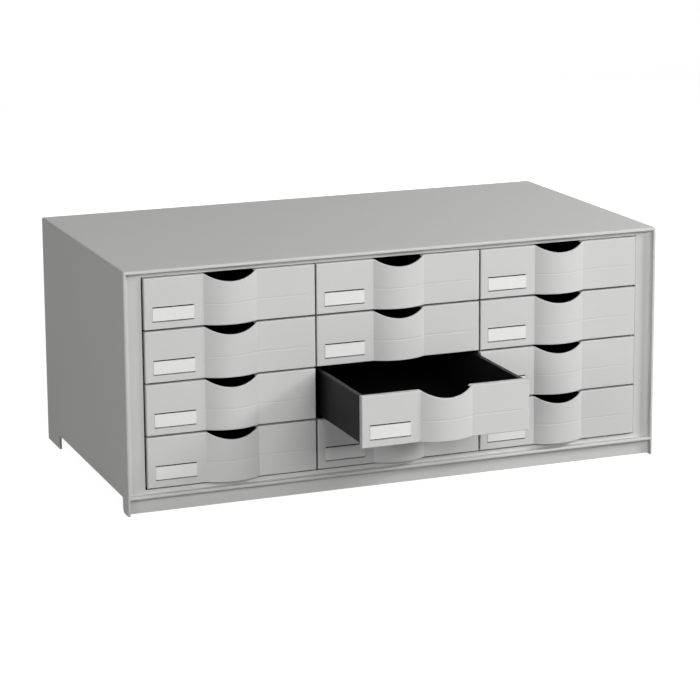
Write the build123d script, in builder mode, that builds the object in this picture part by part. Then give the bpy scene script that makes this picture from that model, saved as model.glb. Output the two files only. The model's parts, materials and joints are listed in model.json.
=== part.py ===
"""Desktop drawer unit: a plastic casing with three columns of four letter drawers.

The drawer in the third row from the top, middle column, stands partly open at rest.
X runs along the width, Y from front to back, Z up. All sizes are in millimetres.
"""

import math
import os

from build123d import *

# Drawer fronts
rows = 4
columns = 3
front_width = 228.0
front_height = 66.3
front_gap = 2.4
top_gap = 1.0
front_proud = 4.5
front_skin = 2.5
front_edge_wall = 1.5
front_edge_depth = 8.0
front_edge_round = 1.2
bulge_width = 71.0
bulge_depth = 11.0
notch_depth = 10.5
notch_margin = 1.0
notch_edge_round = 0.8

# Label insert on each front, held in two slots
label_width = 55.0
label_left = 10.6
label_slot_low = 10.3
label_slot_spacing = 17.4
label_slot_height = 2.4
label_thickness = 0.6
label_lip_depth = 0.8
label_clearance = 0.2

# Fine V-shaped score line across each front, level with the label's upper slot
score_height = 2.8
score_depth = 0.25
score_end = 10.6

# Pins that hold each front on its tray
pin_radius = 3.0
pin_clearance = 0.1
pin_spacing_x = 160.0
pin_spacing_z = 30.0

# Trays
tray_length = 378.0
tray_wall = 2.0
tray_floor = 2.0
tray_corner_radius = 4.0
tray_front_clearance = 0.5
tray_side_clearance = 1.0
flange_side_clearance = 0.7
flange_thickness = 2.0
tray_notch_width = 92.0
tray_notch_depth = 15.0

# Casing
panel = 3.0
panel_edge_round = 2.4
frame_recess = 9.0
side_band = 25.7
top_band = 10.6
bottom_band = 9.8
lip_height = 20.4
frame_sheet = 3.0
frame_rim = 0.8
cove_radius = 5.0
lip_cove_radius = 1.5
lip_thickness = 4.6
lip_round = 1.8
rear_clearance = 12.0
plinth_thickness = 2.5
plinth_setback = 8.0
plinth_clearance = 1.0

# Feet cut from the side panels
cutout_height = 19.9
front_foot_depth = 24.0
rear_foot_depth = 64.0
foot_round = 8.0
cutout_round = 2.5

# Inner walls and the ledges that the tray flanges slide on
wall_thickness = 4.0
wall_front_clearance = 1.5
ledge_width = 3.2
ledge_height = 3.0
slide_clearance = 0.3

# The drawer that stands open at rest: its row and column, counted from the top left
open_drawer = (3, 2)
open_travel = 155.0

# Slack for picking edges by their place
tolerance = 0.01

# Sizes that follow
column_pitch = front_width + front_gap
row_pitch = front_height + front_gap
opening_width = columns * column_pitch + front_gap
opening_height = rows * row_pitch + top_gap
bay_width = column_pitch - wall_thickness
tray_width = bay_width - 2 * (ledge_width + tray_side_clearance)
flange_overhang = (bay_width - tray_width) / 2 - flange_side_clearance
casing_width = opening_width + 2 * side_band
casing_height = lip_height + bottom_band + opening_height + top_band
front_recess = frame_recess - front_proud
casing_depth = front_recess + front_skin + tray_length + rear_clearance + panel

# Places that follow; the origin is under the middle of the whole object, open drawer included
reach = open_travel + bulge_depth - front_recess
casing_front = -(casing_depth - reach) / 2
casing_back = casing_front + casing_depth
casing_left = -casing_width / 2
casing_right = casing_width / 2
casing_middle_y = (casing_front + casing_back) / 2
panel_top = casing_height - panel
front_plane = casing_front + front_recess
frame_plane = casing_front + frame_recess
opening_left = casing_left + side_band
opening_bottom = lip_height + bottom_band
wall_front = front_plane + front_edge_depth + wall_front_clearance
wall_back = casing_back - panel
floor_top = lip_height + panel
tray_bottom = front_edge_wall + tray_front_clearance
tray_height = front_height - 2 * tray_bottom
flange_top = tray_bottom + tray_height
ledge_top = flange_top - flange_thickness - slide_clearance

os.makedirs("parts", exist_ok=True)


def write(piece, name):
    """Labels a finished piece and writes it to its own file."""
    piece.part.label = name
    export_step(piece.part, f"parts/{name}.step")


def slab(low, high):
    """A plain board between two opposite corners."""
    middle = ((low[0] + high[0]) / 2, (low[1] + high[1]) / 2, low[2])
    with BuildPart() as board:
        with BuildSketch(Plane(origin=middle)):
            Rectangle(high[0] - low[0], high[1] - low[1])
        extrude(amount=high[2] - low[2])
    return board


def column_middle(column):
    """X of the middle of a column, counted from the left."""
    return opening_left + front_gap + front_width / 2 + (column - 1) * column_pitch


def row_bottom(row):
    """Z of the lower edge of the fronts in a row, counted from the top."""
    return opening_bottom + front_gap + (rows - row) * row_pitch


def wall_middle(wall):
    """X of the middle of an inner wall, counted from 0 at the left."""
    return opening_left + front_gap / 2 + wall * column_pitch


def travel(row, column):
    """How far a drawer stands open at rest."""
    return open_travel if (row, column) == open_drawer else 0.0


def make_top_panel():
    """The flat top, over both side panels, with its corners and upper edges rounded."""
    with BuildPart() as top_panel:
        with BuildSketch(Plane(origin=(0, casing_middle_y, panel_top))):
            Rectangle(casing_width, casing_depth)
        extrude(amount=panel)
        corners = top_panel.edges().filter_by(Axis.Z)
        upper_edges = top_panel.faces().sort_by(Axis.Z)[-1].edges()
        fillet(corners + upper_edges, radius=panel_edge_round)
    return top_panel


def make_side_panel(outer_x, inward):
    """A side panel that runs down to the desk as a front foot and a rear foot."""
    cutout_front = casing_front + front_foot_depth
    cutout_back = casing_back - rear_foot_depth
    cutout_middle = (cutout_front + cutout_back) / 2
    with BuildPart() as side_panel:
        with BuildSketch(Plane.YZ.offset(outer_x)) as outline:
            with Locations((casing_middle_y, panel_top / 2)):
                Rectangle(casing_depth, panel_top)
            with Locations((cutout_middle, cutout_height / 2)):
                Rectangle(cutout_back - cutout_front, cutout_height, mode=Mode.SUBTRACT)
            fillet(outline.vertices().sort_by_distance((cutout_front, 0))[0], radius=foot_round)
            for corner_y in (cutout_front, cutout_back):
                corner = outline.vertices().sort_by_distance((corner_y, cutout_height))[0]
                fillet(corner, radius=cutout_round)
        extrude(amount=inward * panel)
        outer_uprights = side_panel.edges().filter_by(Axis.Z).group_by(Axis.X)[0 if inward > 0 else -1]
        by_depth = outer_uprights.sort_by(Axis.Y)
        fillet([by_depth[0], by_depth[-1]], radius=panel_edge_round)
    return side_panel


def make_front_frame():
    """The frame round the drawers: a flat recessed face inside a hollow-curved cove, over a lip."""
    left = casing_left + panel
    right = casing_right - panel
    frame_middle_z = (panel_top + lip_height) / 2
    pocket_low = lip_height + lip_thickness
    pocket_high = panel_top - frame_rim
    pocket_middle_z = (pocket_low + pocket_high) / 2
    opening_middle_z = opening_bottom + opening_height / 2
    back = Plane(origin=(0, frame_plane + frame_sheet, frame_middle_z), x_dir=(1, 0, 0), z_dir=(0, -1, 0))
    face = Plane(origin=(0, frame_plane, frame_middle_z), x_dir=(1, 0, 0), z_dir=(0, -1, 0))
    with BuildPart() as front_frame:
        with BuildSketch(back):
            Rectangle(right - left, panel_top - lip_height)
        extrude(amount=frame_sheet + frame_recess)
        with BuildSketch(face):
            with Locations((0, pocket_middle_z - frame_middle_z)):
                Rectangle(right - left - 2 * frame_rim, pocket_high - pocket_low)
        extrude(amount=frame_recess, mode=Mode.SUBTRACT)
        pocket_floor = front_frame.edges().filter_by_position(
            Axis.Y, frame_plane - tolerance, frame_plane + tolerance
        )
        fillet(pocket_floor.sort_by(Axis.Z)[1:], radius=cove_radius)
        front_edges = front_frame.edges().filter_by_position(
            Axis.Y, casing_front - tolerance, casing_front + tolerance
        )
        lip_edges = front_edges.filter_by(Axis.X).filter_by_position(
            Axis.Z, lip_height - tolerance, pocket_low + tolerance
        )
        fillet(lip_edges, radius=lip_round)
        lip_corner = front_frame.edges().filter_by_position(
            Axis.Y, frame_plane - tolerance, frame_plane + tolerance
        )
        fillet(lip_corner.sort_by(Axis.Z)[0], radius=lip_cove_radius)
        with BuildSketch(back):
            with Locations((0, opening_middle_z - frame_middle_z)):
                Rectangle(opening_width, opening_height)
        extrude(amount=frame_sheet + frame_recess, mode=Mode.SUBTRACT)
    return front_frame


def make_ledges(bay, side):
    """The row of ledges on one side of a bay, one for each drawer; side is -1 or 1."""
    wall = bay - 1 if side < 0 else bay
    wall_face = wall_middle(wall) - side * wall_thickness / 2
    middle_x = wall_face - side * ledge_width / 2
    with BuildPart() as ledges:
        with BuildSketch(Plane(origin=(0, wall_front, 0), x_dir=(1, 0, 0), z_dir=(0, -1, 0))):
            for row in range(1, rows + 1):
                with Locations((middle_x, row_bottom(row) + ledge_top - ledge_height / 2)):
                    Rectangle(ledge_width, ledge_height)
        extrude(amount=-(wall_back - wall_front))
    return ledges


def bulge_arc(depth, half_width, base_y, middle_x):
    """An arc in plan, bowed towards the front, between two points on the flat face."""
    ThreePointArc(
        (middle_x - half_width, base_y),
        (middle_x, base_y - depth),
        (middle_x + half_width, base_y),
    )


def score_wedge(surface, root):
    """The V-shaped section of the score line, from the surface down to its root."""
    Polyline(
        (surface, -score_height / 2),
        (surface, score_height / 2),
        (root, 0),
        close=True,
    )


def make_front(middle_x, face_y, low_z):
    """A drawer front: a shell with a bowed middle and a finger notch in its upper edge."""
    back_y = face_y + front_edge_depth
    inner_y = face_y + front_skin
    half = front_width / 2
    inner_half = half - front_edge_wall
    bulge_half = bulge_width / 2
    notch_half = bulge_half - notch_margin
    notch_radius = (notch_half**2 + notch_depth**2) / (2 * notch_depth)
    bulge_radius = (bulge_half**2 + bulge_depth**2) / (2 * bulge_depth)
    bulge_axis_y = face_y - bulge_depth + bulge_radius
    bulge_turn = math.degrees(math.asin(bulge_half / bulge_radius))
    with BuildPart() as front:
        with BuildSketch(Plane.XY.offset(low_z)):
            with BuildLine():
                bulge_arc(bulge_depth, bulge_half, face_y, middle_x)
                Polyline(
                    (middle_x + bulge_half, face_y),
                    (middle_x + half, face_y),
                    (middle_x + half, back_y),
                    (middle_x - half, back_y),
                    (middle_x - half, face_y),
                    (middle_x - bulge_half, face_y),
                )
            make_face()
        extrude(amount=front_height)
        outline = front.edges().filter_by_position(
            Axis.Y, face_y - bulge_depth - tolerance, face_y + tolerance
        )
        creases = front.edges().filter_by(Axis.Z).filter_by_position(
            Axis.X, middle_x - bulge_half - tolerance, middle_x + bulge_half + tolerance
        )
        fillet(outline - creases, radius=front_edge_round)
        with BuildSketch(Plane.XY.offset(low_z + front_edge_wall)):
            with BuildLine():
                bulge_arc(bulge_depth, bulge_half, inner_y, middle_x)
                Polyline(
                    (middle_x + bulge_half, inner_y),
                    (middle_x + inner_half, inner_y),
                    (middle_x + inner_half, back_y),
                    (middle_x - inner_half, back_y),
                    (middle_x - inner_half, inner_y),
                    (middle_x - bulge_half, inner_y),
                )
            make_face()
        extrude(amount=front_height - 2 * front_edge_wall, mode=Mode.SUBTRACT)
        notch_middle = (middle_x, back_y, low_z + front_height - notch_depth + notch_radius)
        with BuildSketch(Plane(origin=notch_middle, x_dir=(1, 0, 0), z_dir=(0, -1, 0))):
            Circle(notch_radius)
        extrude(amount=front_edge_depth + bulge_depth, mode=Mode.SUBTRACT)
        curved = front.edges().filter_by(lambda edge: edge.geom_type not in (GeomType.LINE, GeomType.CIRCLE))
        fillet(curved.sort_by(Axis.Y)[0], radius=notch_edge_round)
        slot_x = middle_x - half + label_left + label_width / 2
        for lift in (label_slot_low, label_slot_low + label_slot_spacing):
            slot = Plane(origin=(slot_x, face_y, low_z + lift), x_dir=(1, 0, 0), z_dir=(0, -1, 0))
            with BuildSketch(slot):
                Rectangle(label_width, label_slot_height)
            extrude(amount=-front_skin, mode=Mode.SUBTRACT)
        score_z = low_z + label_slot_low + label_slot_spacing
        flat_start = Plane(origin=(middle_x + bulge_half, face_y, score_z), x_dir=(0, 1, 0), z_dir=(1, 0, 0))
        with BuildSketch(flat_start):
            with BuildLine():
                score_wedge(0, score_depth)
            make_face()
        extrude(amount=half - score_end - bulge_half, mode=Mode.SUBTRACT)
        bulge_start = Plane(origin=(middle_x, bulge_axis_y, score_z), x_dir=(0, -1, 0), z_dir=(1, 0, 0))
        with BuildSketch(bulge_start.rotated((0, 0, bulge_turn))):
            with BuildLine():
                score_wedge(bulge_radius, bulge_radius - score_depth)
            make_face()
        bulge_axis = Axis((middle_x, bulge_axis_y, 0), (0, 0, 1))
        revolve(axis=bulge_axis, revolution_arc=-2 * bulge_turn, mode=Mode.SUBTRACT)
        pins = Plane(origin=(middle_x, inner_y, low_z + front_height / 2), x_dir=(1, 0, 0), z_dir=(0, -1, 0))
        with BuildSketch(pins):
            with GridLocations(pin_spacing_x, pin_spacing_z, 2, 2):
                Circle(pin_radius)
        extrude(amount=-tray_wall)
    return front


def make_label(middle_x, face_y, low_z):
    """A stiff label insert whose upper and lower edges turn back into the slots."""
    left = middle_x - front_width / 2 + label_left + label_clearance
    right = left + label_width - 2 * label_clearance
    low_slot = low_z + label_slot_low
    low_lip = low_slot + label_slot_height / 2 - label_clearance
    high_lip = low_slot + label_slot_spacing - label_slot_height / 2 + label_clearance
    outer_y = face_y - label_thickness
    lip_y = face_y + label_lip_depth
    with BuildPart() as label:
        with BuildSketch(Plane.YZ.offset(left)):
            with BuildLine():
                Polyline(
                    (outer_y, low_lip - label_thickness),
                    (lip_y, low_lip - label_thickness),
                    (lip_y, low_lip),
                    (face_y, low_lip),
                    (face_y, high_lip),
                    (lip_y, high_lip),
                    (lip_y, high_lip + label_thickness),
                    (outer_y, high_lip + label_thickness),
                    close=True,
                )
            make_face()
        extrude(amount=right - left)
    return label


def make_tray(middle_x, face_y, low_z):
    """An open tray with a sliding flange along the top of each side and a notch in its front wall."""
    tray_front = face_y + front_skin
    tray_middle = tray_front + tray_length / 2
    flange_front = face_y + front_edge_depth + tray_front_clearance
    flange_length = tray_front + tray_length - flange_front
    flange_middle = flange_front + flange_length / 2
    flange_width = flange_overhang + tray_wall
    flange_offset = (tray_width - 2 * tray_wall + flange_width) / 2
    notch_sink = tray_notch_depth - (front_height - flange_top)
    notch_radius = ((tray_notch_width / 2) ** 2 + notch_sink**2) / (2 * notch_sink)
    notch_middle = (middle_x, tray_front, low_z + front_height - tray_notch_depth + notch_radius)
    with BuildPart() as tray:
        with BuildSketch(Plane(origin=(middle_x, tray_middle, low_z + tray_bottom))):
            RectangleRounded(tray_width, tray_length, tray_corner_radius)
        extrude(amount=tray_height)
        with BuildSketch(Plane(origin=(middle_x, flange_middle, low_z + flange_top))):
            with Locations((-flange_offset, 0), (flange_offset, 0)):
                Rectangle(flange_width, flange_length)
        extrude(amount=-flange_thickness)
        with BuildSketch(Plane(origin=(middle_x, tray_middle, low_z + tray_bottom + tray_floor))):
            RectangleRounded(
                tray_width - 2 * tray_wall,
                tray_length - 2 * tray_wall,
                tray_corner_radius - tray_wall,
            )
        extrude(amount=tray_height, mode=Mode.SUBTRACT)
        with BuildSketch(Plane(origin=notch_middle, x_dir=(1, 0, 0), z_dir=(0, -1, 0))):
            Circle(notch_radius)
        extrude(amount=-tray_wall, mode=Mode.SUBTRACT)
        holes = Plane(
            origin=(middle_x, tray_front, low_z + front_height / 2),
            x_dir=(1, 0, 0),
            z_dir=(0, -1, 0),
        )
        with BuildSketch(holes):
            with GridLocations(pin_spacing_x, pin_spacing_z, 2, 2):
                Circle(pin_radius + pin_clearance)
        extrude(amount=-tray_wall, mode=Mode.SUBTRACT)
    return tray


inner_left = casing_left + panel
inner_right = casing_right - panel
frame_back = frame_plane + frame_sheet
plinth_front = casing_front + plinth_setback

write(make_top_panel(), "top_panel")
write(make_side_panel(casing_left, 1), "left_side_panel")
write(make_side_panel(casing_right, -1), "right_side_panel")
write(make_front_frame(), "front_frame")
write(slab((inner_left, frame_back, lip_height), (inner_right, wall_back, floor_top)), "base_panel")
write(slab((inner_left, wall_back, plinth_clearance), (inner_right, casing_back, panel_top)), "back_panel")
write(
    slab(
        (inner_left, plinth_front, plinth_clearance),
        (inner_right, plinth_front + plinth_thickness, lip_height),
    ),
    "plinth",
)

for wall in range(columns + 1):
    middle_x = wall_middle(wall)
    low = (middle_x - wall_thickness / 2, wall_front, floor_top)
    high = (middle_x + wall_thickness / 2, wall_back, panel_top)
    write(slab(low, high), f"inner_wall_{wall + 1}")

for column in range(1, columns + 1):
    write(make_ledges(column, -1), f"column_{column}_left_ledges")
    write(make_ledges(column, 1), f"column_{column}_right_ledges")

for row in range(1, rows + 1):
    for column in range(1, columns + 1):
        place = (column_middle(column), front_plane - travel(row, column), row_bottom(row))
        write(make_front(*place), f"drawer_front_r{row}c{column}")
        write(make_tray(*place), f"tray_r{row}c{column}")
        write(make_label(*place), f"label_insert_r{row}c{column}")

print(f"casing {casing_width:.1f} x {casing_depth:.1f} x {casing_height:.1f} mm")
print(f"whole object {casing_depth + reach:.1f} mm deep, open drawer {reach:.1f} mm in front")
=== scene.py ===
# %% [markdown]
# # A desktop drawer unit, dressed for a studio picture
#
# The construction of this unit, with every panel, drawer front, tray and ledge, comes from a
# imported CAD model, which is loaded here as a fixed frame. Blender's part is the looks: the
# camera, the light, the moulded plastics and the small cards. Nothing here moves or resizes a
# CAD part. All sizes are in metres. X runs along the width, Y from the drawer fronts to the
# back, Z up.

# %% Load the frame
import json
import math

import bmesh
import bpy
from mathutils import Matrix, Vector


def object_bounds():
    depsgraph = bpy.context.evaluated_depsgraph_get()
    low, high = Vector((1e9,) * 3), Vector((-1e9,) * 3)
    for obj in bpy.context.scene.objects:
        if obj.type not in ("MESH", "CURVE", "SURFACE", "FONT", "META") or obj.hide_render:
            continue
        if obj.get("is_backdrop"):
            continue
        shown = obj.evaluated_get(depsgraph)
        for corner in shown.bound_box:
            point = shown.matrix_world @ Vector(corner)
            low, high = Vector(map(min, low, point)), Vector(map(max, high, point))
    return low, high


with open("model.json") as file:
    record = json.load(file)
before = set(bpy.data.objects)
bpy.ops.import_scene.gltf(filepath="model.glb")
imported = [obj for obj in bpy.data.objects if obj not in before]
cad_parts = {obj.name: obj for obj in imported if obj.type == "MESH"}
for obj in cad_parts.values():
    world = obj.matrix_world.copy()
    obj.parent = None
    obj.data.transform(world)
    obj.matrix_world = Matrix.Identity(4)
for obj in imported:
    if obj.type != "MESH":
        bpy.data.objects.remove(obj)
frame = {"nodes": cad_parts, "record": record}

cad_low, cad_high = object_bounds()
cad_size = cad_high - cad_low
print(f"the unit is {cad_size.x:.3f} x {cad_size.y:.3f} x {cad_size.z:.3f} m")

# %% [markdown]
# ## The camera
#
# The picture to match was taken with a long lens from the left of the unit, a little above it.
# Because the lens is long, the rows of drawers hardly converge. The camera could be aimed at the
# unit by eye, but then it would hold numbers that nobody can read. So the standing point is
# written in real millimetres and the angles in degrees. Besides turning and tipping, the camera
# leans by half a degree, as one held by hand does. A lens shift moves the picture in its frame
# without turning the camera, which keeps the upright edges nearly parallel. It is kept small,
# because every other view inherits it.

# %% Place the camera
MILLIMETRE = 0.001
SENSOR_WIDTH_MM = 36.0
camera_place = Vector((-1206.3, -3032.8, 956.5)) * MILLIMETRE
camera_turn_right = math.radians(20.891)
camera_tip_down = math.radians(11.259)
camera_lean = math.radians(-0.449)
camera_lens_mm = 128.06
camera_shift = (0.0257, -0.157)

camera_data = bpy.data.cameras.new("studio_camera")
camera_data.lens = camera_lens_mm
camera_data.sensor_width = SENSOR_WIDTH_MM
camera_data.shift_x, camera_data.shift_y = camera_shift
camera_data.dof.use_dof = False
camera = bpy.data.objects.new("studio_camera", camera_data)
bpy.context.scene.collection.objects.link(camera)
camera.location = camera_place
print(f"a {camera_lens_mm:.0f} mm lens, {camera_place.length:.2f} m from the unit")

# %% [markdown]
# A new camera looks straight down. Tipping it up by a right angle, less the tip down, points it
# along +Y, and the turn about Z then swings it to the right. The lean goes in first, about the
# camera's own line of sight. One rotation with three numbers would do the same, but none of them
# would be an angle that could be measured. The Standard view transform shows each colour as it is
# written.

# %% Turn the camera
turned = Matrix.Rotation(-camera_turn_right, 4, "Z")
tipped = Matrix.Rotation(math.radians(90.0) - camera_tip_down, 4, "X")
leaned = Matrix.Rotation(camera_lean, 4, "Z")
camera.rotation_euler = (turned @ tipped @ leaned).to_euler()
bpy.context.scene.camera = camera
bpy.context.scene.view_settings.view_transform = "Standard"
line_of_sight = camera.rotation_euler.to_matrix() @ Vector((0.0, 0.0, -1.0))
print("the camera looks along", [round(share, 2) for share in line_of_sight])

# %% [markdown]
# ## A way to write shader maths
#
# A material is a graph of nodes, and graphs are tedious to write by hand. This small class wraps
# one output socket. Adding, subtracting or multiplying two of them adds a Math node, so a mask
# can be written as `1 - edge * 0.3`. Every other node comes from its `node` method. A signal with
# no socket yet stands for a bare tree, and starts the first node in it.


# %% Wrap a shader socket
class Signal:
    """One socket of a node tree, which can be used in Python sums."""

    def __init__(self, tree, socket=None):
        self.tree = tree
        self.socket = socket

    def node(self, kind, settings=None, inputs=None, output=0):
        """Adds a node of any kind: its settings first, then the values or links of its sockets."""
        made = self.tree.nodes.new(kind)
        for name, value in (settings or {}).items():
            if name == "stops":
                for element, (place, level) in zip(made.color_ramp.elements, value):
                    element.position = place
                    element.color = (level, level, level, 1.0)
            else:
                setattr(made, name, value)
        for name, value in (inputs or {}).items():
            if isinstance(value, Signal):
                self.tree.links.new(value.socket, made.inputs[name])
            else:
                made.inputs[name].default_value = value
        return Signal(self.tree, made.outputs[output])

    def maths(self, operation, first, second):
        return self.node("ShaderNodeMath", {"operation": operation}, {0: first, 1: second})

    def __add__(self, other):
        return self.maths("ADD", self, other)

    def __radd__(self, other):
        return self.maths("ADD", other, self)

    def __sub__(self, other):
        return self.maths("SUBTRACT", self, other)

    def __rsub__(self, other):
        return self.maths("SUBTRACT", other, self)

    def __mul__(self, other):
        return self.maths("MULTIPLY", self, other)

    def __rmul__(self, other):
        return self.maths("MULTIPLY", other, self)

    def ramp(self, first_stop, last_stop):
        """Reshapes a value between two stops, each a place and its level."""
        return self.node("ShaderNodeValToRGB", {"stops": (first_stop, last_stop)}, {"Fac": self})

    def noise(self, scale, detail=2.0, stretch=(1.0, 1.0, 1.0)):
        """Cloudy noise over this position, with so many clouds to a metre."""
        placed = self.node("ShaderNodeMapping", None, {"Vector": self, "Scale": stretch})
        sockets = {"Vector": placed, "Scale": scale, "Detail": detail}
        return self.node("ShaderNodeTexNoise", {"noise_dimensions": "3D"}, sockets)

    def tint(self, dark, light):
        """A colour between two colours, by this value."""
        colours = {"Factor": self, 6: (*dark, 1.0), 7: (*light, 1.0)}
        return self.node("ShaderNodeMix", {"data_type": "RGBA"}, colours, output=2)


# %% [markdown]
# Each material below starts and ends in the same way. It starts with a Principled shader and with
# the position on the object, in metres, and it ends with signals fed into the shader's sockets.


# %% Start a material
def start_material(name):
    """A new material: the material, its Principled shader and the position on the object."""
    material = bpy.data.materials.new(name)
    material.use_nodes = True
    tree = material.node_tree
    shader = tree.nodes["Principled BSDF"]
    place = Signal(tree).node("ShaderNodeTexCoord", output="Object")
    return material, shader, place


def connect(shader, name, signal):
    """Feeds a signal into one socket of the shader."""
    signal.tree.links.new(signal.socket, shader.inputs[name])


def bump(signal, height):
    """Turns a signal into a surface normal, as if its full range stood this many metres high."""
    sockets = {"Height": signal, "Distance": height, "Strength": 1.0}
    return signal.node("ShaderNodeBump", None, sockets)


# %% [markdown]
# ## The light grey moulded plastic
#
# The casing and the drawer fronts are injection-moulded in the same light grey plastic. Up close
# such a surface isn't smooth: the mould is spark-eroded, which leaves a fine satin grain. From a
# step away three things remain of it: a soft highlight, a colour that drifts by a percent or two
# where the plastic flowed, and a faint grain. Pictures of real grain could be laid over it, but
# they wouldn't stay sharp up close, so all three are noise at a real size. The casing's panels
# are the duller of the two, and the fronts have a little more shine.

# %% Make the grey plastic
GRAIN_PER_METRE = 1400.0
DRIFT_PER_METRE = 7.0
STREAK_PER_METRE = 9.0
FLOW_STRETCH = (0.6, 8.0, 40.0)
DRIFT_STOPS = ((0.3, 0.0), (0.7, 1.0))
DRIFT_SHARE = 0.6
GREY_ROUGHNESS_DRIFT = 0.08
GREY_ROUGHNESS_GRAIN = 0.06


def grey_plastic(name, dark, light, roughness, shine, grain_height):
    """Satin moulded plastic, its colour drifting between two close greys."""
    material, shader, place = start_material(name)
    drift = place.noise(DRIFT_PER_METRE, detail=3.0)
    streaks = place.noise(STREAK_PER_METRE, detail=4.0, stretch=FLOW_STRETCH)
    grain = place.noise(GRAIN_PER_METRE, detail=1.0)
    mixed = drift.ramp(*DRIFT_STOPS) * DRIFT_SHARE + streaks * (1.0 - DRIFT_SHARE)
    connect(shader, "Base Color", mixed.tint(dark, light))
    smoothest = roughness - (GREY_ROUGHNESS_DRIFT + GREY_ROUGHNESS_GRAIN) / 2
    uneven = drift * GREY_ROUGHNESS_DRIFT + grain * GREY_ROUGHNESS_GRAIN + smoothest
    connect(shader, "Roughness", uneven)
    connect(shader, "Normal", bump(grain, grain_height))
    shader.inputs["Specular IOR Level"].default_value = shine
    return material


casing_plastic = grey_plastic(
    "casing_plastic",
    dark=(0.59, 0.59, 0.58),
    light=(0.62, 0.62, 0.61),
    roughness=0.52,
    shine=0.3,
    grain_height=0.00001,
)
front_plastic = grey_plastic(
    "front_plastic",
    dark=(0.60, 0.60, 0.595),
    light=(0.635, 0.635, 0.63),
    roughness=0.34,
    shine=0.5,
    grain_height=0.000008,
)
print("made", casing_plastic.name, "and", front_plastic.name)

# %% [markdown]
# ## The black plastics
#
# The trays are smooth black polystyrene. Black plastic is never quite black: what the eye sees is
# the reflection on it, broken by the fine scratches that years of use leave. One flat black would
# look like a hole, so the shine varies in smears, and long thin noise along the drawer stands for
# the scratches. The walls and ledges inside the casing are a duller black.

# %% Make the black plastics
SCRATCH_PER_METRE = 60.0
SCRATCH_STRETCH = (14.0, 0.5, 14.0)
SMEAR_PER_METRE = 14.0
SMEAR_LIFT = 1.7
BLACK_ROUGHNESS_SMEAR = 0.2
BLACK_ROUGHNESS_SCRATCH = 0.1
BLACK_SHINE = 0.08


def black_plastic(name, shade, roughness, scratch_height):
    """Black plastic whose reflection is broken by fine scratches along the drawer."""
    material, shader, place = start_material(name)
    scratches = place.noise(SCRATCH_PER_METRE, detail=5.0, stretch=SCRATCH_STRETCH)
    smears = place.noise(SMEAR_PER_METRE, detail=3.0)
    lifted = tuple(channel * SMEAR_LIFT for channel in shade)
    connect(shader, "Base Color", smears.tint(shade, lifted))
    smoothest = roughness - (BLACK_ROUGHNESS_SMEAR + BLACK_ROUGHNESS_SCRATCH) / 2
    uneven = smears * BLACK_ROUGHNESS_SMEAR + scratches * BLACK_ROUGHNESS_SCRATCH + smoothest
    connect(shader, "Roughness", uneven)
    connect(shader, "Normal", bump(scratches, scratch_height))
    shader.inputs["Specular IOR Level"].default_value = BLACK_SHINE
    return material


tray_plastic = black_plastic(
    "tray_plastic",
    shade=(0.007, 0.007, 0.008),
    roughness=0.36,
    scratch_height=0.00002,
)
inner_plastic = black_plastic(
    "inner_plastic",
    shade=(0.007, 0.007, 0.007),
    roughness=0.6,
    scratch_height=0.00001,
)
print("made", tray_plastic.name, "and", inner_plastic.name)

# %% [markdown]
# ## The label card
#
# Each front carries a blank white card. Card is brighter and less glossy than the plastic, with a
# fibrous surface. One flat white would look pasted on, so a fine noise, stretched along the card,
# stands for the fibres, in the colour and in the surface.

# %% Make the card
FIBRE_PER_METRE = 700.0
FIBRE_STRETCH = (0.4, 1.0, 1.0)
FIBRE_HEIGHT = 0.00001
CARD_DARK = (0.78, 0.78, 0.77)
CARD_LIGHT = (0.86, 0.86, 0.85)
CARD_ROUGHNESS = 0.62


def card_material():
    """Blank white card with short fibres."""
    material, shader, place = start_material("label_card")
    fibres = place.noise(FIBRE_PER_METRE, detail=3.0, stretch=FIBRE_STRETCH)
    connect(shader, "Base Color", fibres.tint(CARD_DARK, CARD_LIGHT))
    connect(shader, "Normal", bump(fibres, FIBRE_HEIGHT))
    shader.inputs["Roughness"].default_value = CARD_ROUGHNESS
    return material


label_card = card_material()
print("made", label_card.name)

# %% [markdown]
# ## Dressing the CAD parts
#
# Every part already has its true shape from the CAD model: the bowed fronts with their notches
# and score lines, the cards in their slots, the trays with their flanges. They could be modelled
# again here, but that would only copy them, so each keeps its mesh and only its material changes.
# The record names a material slot for each part, so one table from slot to material dresses all.

# %% Give each node its material
finishes = {
    "casing_plastic": casing_plastic,
    "front_plastic": front_plastic,
    "tray_plastic": tray_plastic,
    "inner_plastic": inner_plastic,
    "label_card": label_card,
}
slot_of = {part["node"]: part["material_slot"] for part in frame["record"]["subparts"]}
for name, node in frame["nodes"].items():
    node.data.materials.clear()
    node.data.materials.append(finishes[slot_of[name]])
print("dressed", len(slot_of), "nodes in", len(finishes), "finishes")

# %% [markdown]
# ## The stage
#
# The unit stands on a plain pale floor. The picture's background is white, and it should be white
# without more light falling on the unit. So the floor and the world answer the camera with white,
# and every other ray with a plain grey. What the camera sees in a mirror or through glass gets
# the same white. The floor keeps part of its true shading, which leaves the shadow.


# %% Tell what the camera sees
def camera_mask(tree):
    """1 for what the camera sees directly, in a reflection or through glass, else 0."""
    bare = Signal(tree)
    direct = bare.node("ShaderNodeLightPath", output="Is Camera Ray")
    mirrored = bare.node("ShaderNodeLightPath", output="Is Glossy Ray")
    through = bare.node("ShaderNodeLightPath", output="Is Transmission Ray")
    return direct + mirrored + through


# %% Make the floor's material
FLOOR_GREY = 0.1
FLOOR_GREY_IN_VIEW = 0.9
FLOOR_ROUGHNESS = 0.9
WHITE_SHARE = 0.7
WHITE_LEVEL = 1.37


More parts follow.
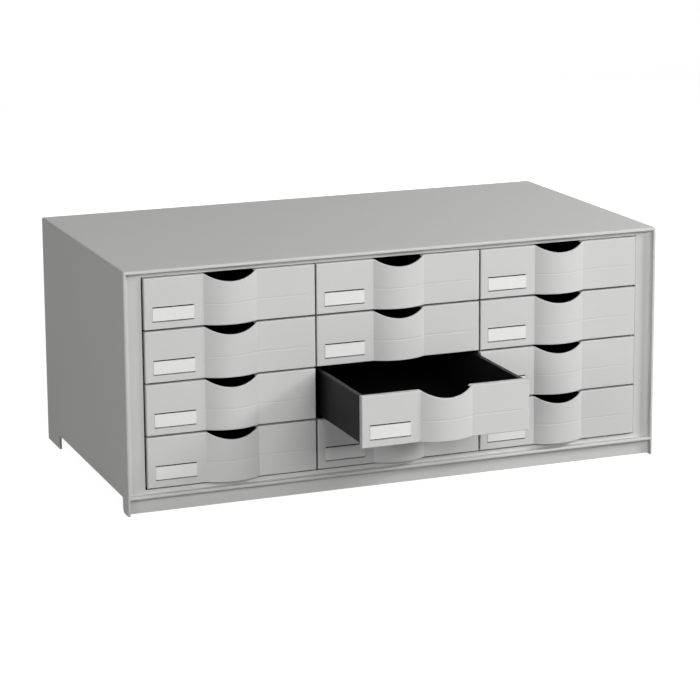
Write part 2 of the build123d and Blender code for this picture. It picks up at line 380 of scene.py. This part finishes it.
def floor_material():
    """White for the camera, with part of the true shading, and plain grey for all other rays."""
    material, shader, place = start_material("studio_floor")
    tree = place.tree
    seen = camera_mask(tree)
    connect(shader, "Base Color", seen * (FLOOR_GREY_IN_VIEW - FLOOR_GREY) + FLOOR_GREY)
    shader.inputs["Roughness"].default_value = FLOOR_ROUGHNESS
    shader.inputs["Specular IOR Level"].default_value = 0.0
    glow = {"Color": (1.0, 1.0, 1.0, 1.0), "Strength": WHITE_LEVEL}
    white = place.node("ShaderNodeEmission", None, glow)
    shaded = Signal(tree, shader.outputs[0])
    both = place.node("ShaderNodeMixShader", None, {0: seen * WHITE_SHARE, 1: shaded, 2: white})
    tree.links.new(both.socket, tree.nodes["Material Output"].inputs["Surface"])
    return material


# %% Lay the floor
FLOOR_HALF = 3.5

floor_mesh = bmesh.new()
bmesh.ops.create_grid(floor_mesh, x_segments=1, y_segments=1, size=FLOOR_HALF)
floor_data = bpy.data.meshes.new("floor")
floor_mesh.to_mesh(floor_data)
floor_mesh.free()
floor = bpy.data.objects.new("floor", floor_data)
bpy.context.scene.collection.objects.link(floor)
floor.data.materials.append(floor_material())
floor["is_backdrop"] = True
print(f"the floor is {2 * FLOOR_HALF:.0f} m square")

# %% [markdown]
# ## The world
#
# The world is the sky round the stage. The camera sees it above the floor, where it has to be
# white. A sky that bright would also light the unit from all sides and take away its form, so for
# the unit the world is only a faint even light. With `1 - seen` the two never mix.

# %% Make the world
AMBIENT = 0.06

world = bpy.data.worlds.new("studio")
bpy.context.scene.world = world
world.use_nodes = True
background = world.node_tree.nodes["Background"]
background.inputs["Color"].default_value = (1.0, 1.0, 1.0, 1.0)
seen = camera_mask(world.node_tree)
strength = seen + (1 - seen) * AMBIENT
connect(background, "Strength", strength)
print(f"the world lights the unit with {AMBIENT} and shows white")

# %% [markdown]
# ## The light
#
# A wide softbox ahead lights the fronts, from high enough for the open drawer to throw a soft
# shadow down to the plinth. A smaller one at the right gives the bowed middles their form, darker
# on their left and brighter on their right, and a third one at the left keeps the side panel
# readable. Two more stand behind: a weak one that lifts the right end of the top, and a low strip
# that lights the back and not the top. A single strong lamp would be simpler, but its shadows are
# hard, and the side away from it would go black. The lamps in front don't show in reflections,
# since from behind the unit they would bleach its top.


# %% Hang the lights
def softbox(name, place, aim, width, height, power, reflected):
    """A rectangular area lamp of so many watts that looks from one point at another."""
    data = bpy.data.lights.new(name, "AREA")
    data.shape = "RECTANGLE"
    data.size = width
    data.size_y = height
    data.energy = power
    lamp = bpy.data.objects.new(name, data)
    bpy.context.scene.collection.objects.link(lamp)
    lamp.location = place
    lamp.rotation_euler = (aim - place).to_track_quat("-Z", "Y").to_euler()
    lamp.visible_glossy = reflected


lamp_aim = Vector((0.0, -0.1, 0.15))
softboxes = {
    "front_softbox": ((0.3, -3.0, 1.35), 1.7, 1.3, 60.0, False),
    "right_softbox": ((2.3, -1.3, 1.35), 0.8, 0.7, 48.0, False),
    "left_fill": ((-2.8, -1.85, 0.8), 1.6, 1.2, 28.0, False),
    "back_softbox": ((1.8, 1.8, 1.8), 1.6, 1.2, 9.0, True),
    "back_strip": ((0.9, 2.6, 0.0), 1.6, 0.28, 36.0, True),
}
for name, (offset, width, height, power, reflected) in softboxes.items():
    softbox(name, lamp_aim + Vector(offset), lamp_aim, width, height, power, reflected)

# %% [markdown]
# ## The dressed size
#
# The dressed unit must fill the same box as the CAD model. Its size is printed here, as the CAD
# size is at the start.

# %% Print the dressed size
dressed_low, dressed_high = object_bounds()
dressed_size = dressed_high - dressed_low
print(f"dressed, it is {dressed_size.x:.3f} x {dressed_size.y:.3f} x {dressed_size.z:.3f} m")
